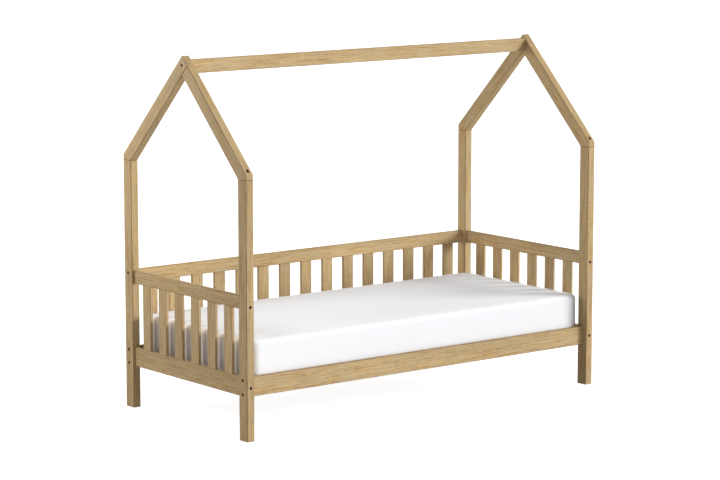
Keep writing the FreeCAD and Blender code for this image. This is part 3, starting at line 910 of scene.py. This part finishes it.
class BED_OT_side_rails(bpy.types.Operator):
    """Finish the front and rear side rails"""

    bl_idname = "bed.side_rails"
    bl_label = "Side rails"

    def execute(self, context):
        # the front rail gets a painted shade line along its top, next to the mattress
        frame_wood(context, "front_side_rail", ALONG_X, (RAIL_TOP_SHADE,))
        frame_wood(context, "rear_side_rail", ALONG_X)
        return {"FINISHED"}


class BED_OT_guard(bpy.types.Operator):
    """Finish the slatted guard along the back"""

    bl_idname = "bed.guard"
    bl_label = "Back guard"

    def execute(self, context):
        frame_wood(context, "guard_top_rail", ALONG_X)
        for node in NODES:
            if node.startswith("guard_slat"):
                frame_wood(context, node, ALONG_Z)
        return {"FINISHED"}


class BED_OT_end_panels(bpy.types.Operator):
    """Finish the rails and slats of the two end panels"""

    bl_idname = "bed.end_panels"
    bl_label = "End panels"

    def execute(self, context):
        for node in NODES:
            if "_end_" in node and node.endswith("_rail"):
                frame_wood(context, node, ALONG_Y)
            elif "_end_slat" in node:
                frame_wood(context, node, ALONG_Z)
        return {"FINISHED"}


class BED_OT_base(bpy.types.Operator):
    """Finish the ledgers, the base slats and the straps under them"""

    bl_idname = "bed.base"
    bl_label = "Slatted base"

    def execute(self, context):
        cloth = context.scene.bed_sheet
        for node, turn in (("front_ledger", ALONG_X), ("rear_ledger", ALONG_X),
                           ("base_slats", ALONG_Y)):
            base_wood(context, node, turn, ring=0.004)
        dress("base_straps", cloth_material("Webbing", cloth.webbing, thread=0.0016,
                                            contrast=0.25, depth=0.0006, sheen=0.1))
        return {"FINISHED"}


class BED_OT_bolts(bpy.types.Operator):
    """Make the cap screws that hold the frame together"""

    bl_idname = "bed.bolts"
    bl_label = "Cap screws"

    def execute(self, context):
        hardware = context.scene.bed_hardware
        black = steel_material("Blackened steel", hardware.black, roughness=0.42, metallic=0.6)
        for node in ("rail_bolts", "end_rail_bolts", "eave_bolts", "peak_bolts", "ridge_bolts"):
            verts, faces = [], []
            for top, direction, length in screw_places(node, hardware.shank):
                # painted shade in the holes around the heads
                shade_bore(top, direction)
                shape, sides = cap_screw_shape(hardware, length)
                along = direction.to_track_quat("Z", "X").to_matrix().to_4x4()
                place = Matrix.Translation(top) @ along
                start = len(verts)
                verts += [place @ v for v in shape]
                faces += [tuple(n + start for n in face) for face in sides]
            screws = mesh_object("cap_screws_" + node, verts, faces, black, smooth=False)
            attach(screws, FRAME_BODY)
            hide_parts(node)
        return {"FINISHED"}


class BED_OT_fittings(bpy.types.Operator):
    """Finish the barrel nuts, the wood screws and the dowels"""

    bl_idname = "bed.fittings"
    bl_label = "Nuts, screws and dowels"

    def execute(self, context):
        zinc = steel_material("Zinc", context.scene.bed_hardware.zinc, roughness=0.28,
                              metallic=1.0)
        dress("barrel_nuts", zinc)
        dress("wood_screws", zinc)
        base_wood(context, "dowels", ALONG_X, ring=0.003)
        return {"FINISHED"}


class BED_OT_mattress(bpy.types.Operator):
    """Make the mattress in its ticking"""

    bl_idname = "bed.mattress"
    bl_label = "Mattress"

    def execute(self, context):
        cloth = context.scene.bed_sheet
        ticking = cloth_material("Ticking", cloth.ticking, thread=0.0009, contrast=0.10,
                                 depth=0.0004, sheen=0.1)
        verts, faces = soft_block(cloth, CORE_INSET, MATTRESS_LOW.z + CORE_LIFT,
                                  MATTRESS_HIGH.z - cloth.crown - CORE_DROP, CORE_GRID)
        mattress = mesh_object("mattress_core", verts, faces, ticking)
        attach(mattress, MATTRESS_BODY)
        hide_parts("mattress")
        return {"FINISHED"}


class BED_OT_fitted_sheet(bpy.types.Operator):
    """Make the fitted sheet, stretched over the mattress and tucked under it"""

    bl_idname = "bed.fitted_sheet"
    bl_label = "Fitted sheet"

    def execute(self, context):
        cloth = context.scene.bed_sheet
        cotton = cloth_material("Cotton sheet", cloth.white, thread=0.00045, contrast=0.05,
                                depth=0.00012, sheen=0.15)
        low, high = soft_bounds(cloth)
        top = high.z - SOLID_CROWN
        verts, faces = soft_block(cloth, 0.0, low.z + SHEET_LIFT, top, SHEET_GRID, cloth.tuck)
        sheet = mesh_object("fitted_sheet", verts, faces, cotton)
        normals = [v.normal.copy() for v in sheet.data.vertices]
        for vert, normal in zip(sheet.data.vertices, normals):
            if vert.co.z > low.z + SMOOTH_HEM:
                vert.co += normal * crease_height(vert.co, low, high, cloth.crease)
        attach(sheet, MATTRESS_BODY)
        return {"FINISHED"}


class BED_OT_stage(bpy.types.Operator):
    """Set up the camera, the floor and the light"""

    bl_idname = "bed.stage"
    bl_label = "Stage"

    def execute(self, context):
        stage = context.scene.bed_stage
        self.add_camera(context, stage)
        self.add_floor(stage)
        self.add_light(context, stage)
        context.scene.view_settings.view_transform = "Standard"
        return {"FINISHED"}

    @staticmethod
    def add_camera(context, stage):
        data = bpy.data.cameras.new("Camera")
        data.sensor_width = 36.0
        data.lens = stage.lens
        data.clip_start, data.clip_end = 0.1, 200.0
        camera = bpy.data.objects.new("Camera", data)
        camera.location = stage.camera_place
        camera.rotation_euler = (math.pi / 2 + stage.camera_tilt, 0, stage.camera_turn)
        context.scene.collection.objects.link(camera)
        context.scene.camera = camera

    @staticmethod
    def add_floor(stage):
        material = bpy.data.materials.new("Pale floor")
        material.use_nodes = True
        tree = material.node_tree
        shader = tree.nodes["Principled BSDF"]
        cloud = speckle(tree, object_point(tree), (0.8, 0.8, 0.8))
        tint = mixed(tree, ramp(tree, cloud, 0.3, 0.7, 0.0, 1.0), rgba(stage.floor),
                     rgba([c * 0.99 for c in stage.floor]))
        link(tree, tint, shader.inputs["Base Color"])
        shader.inputs["Roughness"].default_value = 0.9
        shader.inputs["Specular IOR Level"].default_value = 0.1
        shader.inputs["Emission Color"].default_value = (1, 1, 1, 1)
        link(tree, maths(tree, "MULTIPLY", seen_rays(tree), stage.floor_lift),
             shader.inputs["Emission Strength"])
        corners = [Vector((x * FLOOR_REACH, y * FLOOR_REACH, -FLOOR_GAP))
                   for x, y in ((-1, -1), (1, -1), (1, 1), (-1, 1))]
        floor = mesh_object("floor", corners, [(0, 1, 2, 3)], material, smooth=False)

    @staticmethod
    def aim(context, data, place, away):
        """Put a lamp in its place, shining from there against the direction away."""
        lamp = bpy.data.objects.new(data.name, data)
        lamp.rotation_mode = "QUATERNION"
        lamp.rotation_quaternion = away.to_track_quat("Z", "Y")
        lamp.location = place
        context.scene.collection.objects.link(lamp)

    @staticmethod
    def add_light(context, stage):
        away = Vector((math.sin(stage.key_turn) * math.cos(stage.key_height),
                       -math.cos(stage.key_turn) * math.cos(stage.key_height),
                       math.sin(stage.key_height)))
        for name, energy, width, from_where in (
                ("Key", stage.key, stage.key_width, away),
                ("Top", stage.top_light, stage.top_width, Vector((0, 0, 1)))):
            data = bpy.data.lights.new(name, "SUN")
            data.energy = energy
            data.angle = width
            BED_OT_stage.aim(context, data, from_where * SUN_DISTANCE, from_where)
        data = bpy.data.lights.new("Panel", "AREA")
        data.energy = stage.panel
        data.size = stage.panel_size
        place = Vector(stage.panel_place)
        BED_OT_stage.aim(context, data, place, place - PANEL_AIM)
        world = bpy.data.worlds.new("Studio")
        world.use_nodes = True
        tree = world.node_tree
        background = tree.nodes["Background"]
        strength = maths(tree, "MULTIPLY_ADD", seen_rays(tree), 1.0 - stage.fill, stage.fill)
        background.inputs["Color"].default_value = (1, 1, 1, 1)
        link(tree, strength, background.inputs["Strength"])
        context.scene.world = world


class BED_PT_panel(bpy.types.Panel):
    """Lists the bed's pieces and their settings"""

    bl_label = "House frame bed"
    bl_idname = "BED_PT_panel"
    bl_space_type = "VIEW_3D"
    bl_region_type = "UI"
    bl_category = "House bed"

    def draw(self, context):
        for operator in OPERATORS:
            self.layout.operator(operator.bl_idname)
        for group, kind in SETTINGS.items():
            box = self.layout.box()
            box.label(text=kind.__doc__)
            for name in kind.__annotations__:
                box.prop(getattr(context.scene, group), name)


SETTINGS = {
    "bed_wood": BedWoodSettings,
    "bed_hardware": BedHardwareSettings,
    "bed_sheet": BedSheetSettings,
    "bed_stage": BedStageSettings,
}
OPERATORS = (BED_OT_stage, BED_OT_posts, BED_OT_roof, BED_OT_side_rails, BED_OT_guard,
             BED_OT_end_panels, BED_OT_base, BED_OT_bolts, BED_OT_fittings, BED_OT_mattress,
             BED_OT_fitted_sheet)


def register():
    for kind in SETTINGS.values():
        bpy.utils.register_class(kind)
    for operator in OPERATORS:
        bpy.utils.register_class(operator)
    bpy.utils.register_class(BED_PT_panel)
    for group, kind in SETTINGS.items():
        setattr(bpy.types.Scene, group, bpy.props.PointerProperty(type=kind))


def unregister():
    for group in SETTINGS:
        delattr(bpy.types.Scene, group)
    bpy.utils.unregister_class(BED_PT_panel)
    for operator in reversed(OPERATORS):
        bpy.utils.unregister_class(operator)
    for kind in reversed(SETTINGS.values()):
        bpy.utils.unregister_class(kind)


def main():
    register()
    for operator in OPERATORS:
        family, name = operator.bl_idname.split(".")
        getattr(getattr(bpy.ops, family), name)()


if __name__ == "__main__":
    main()
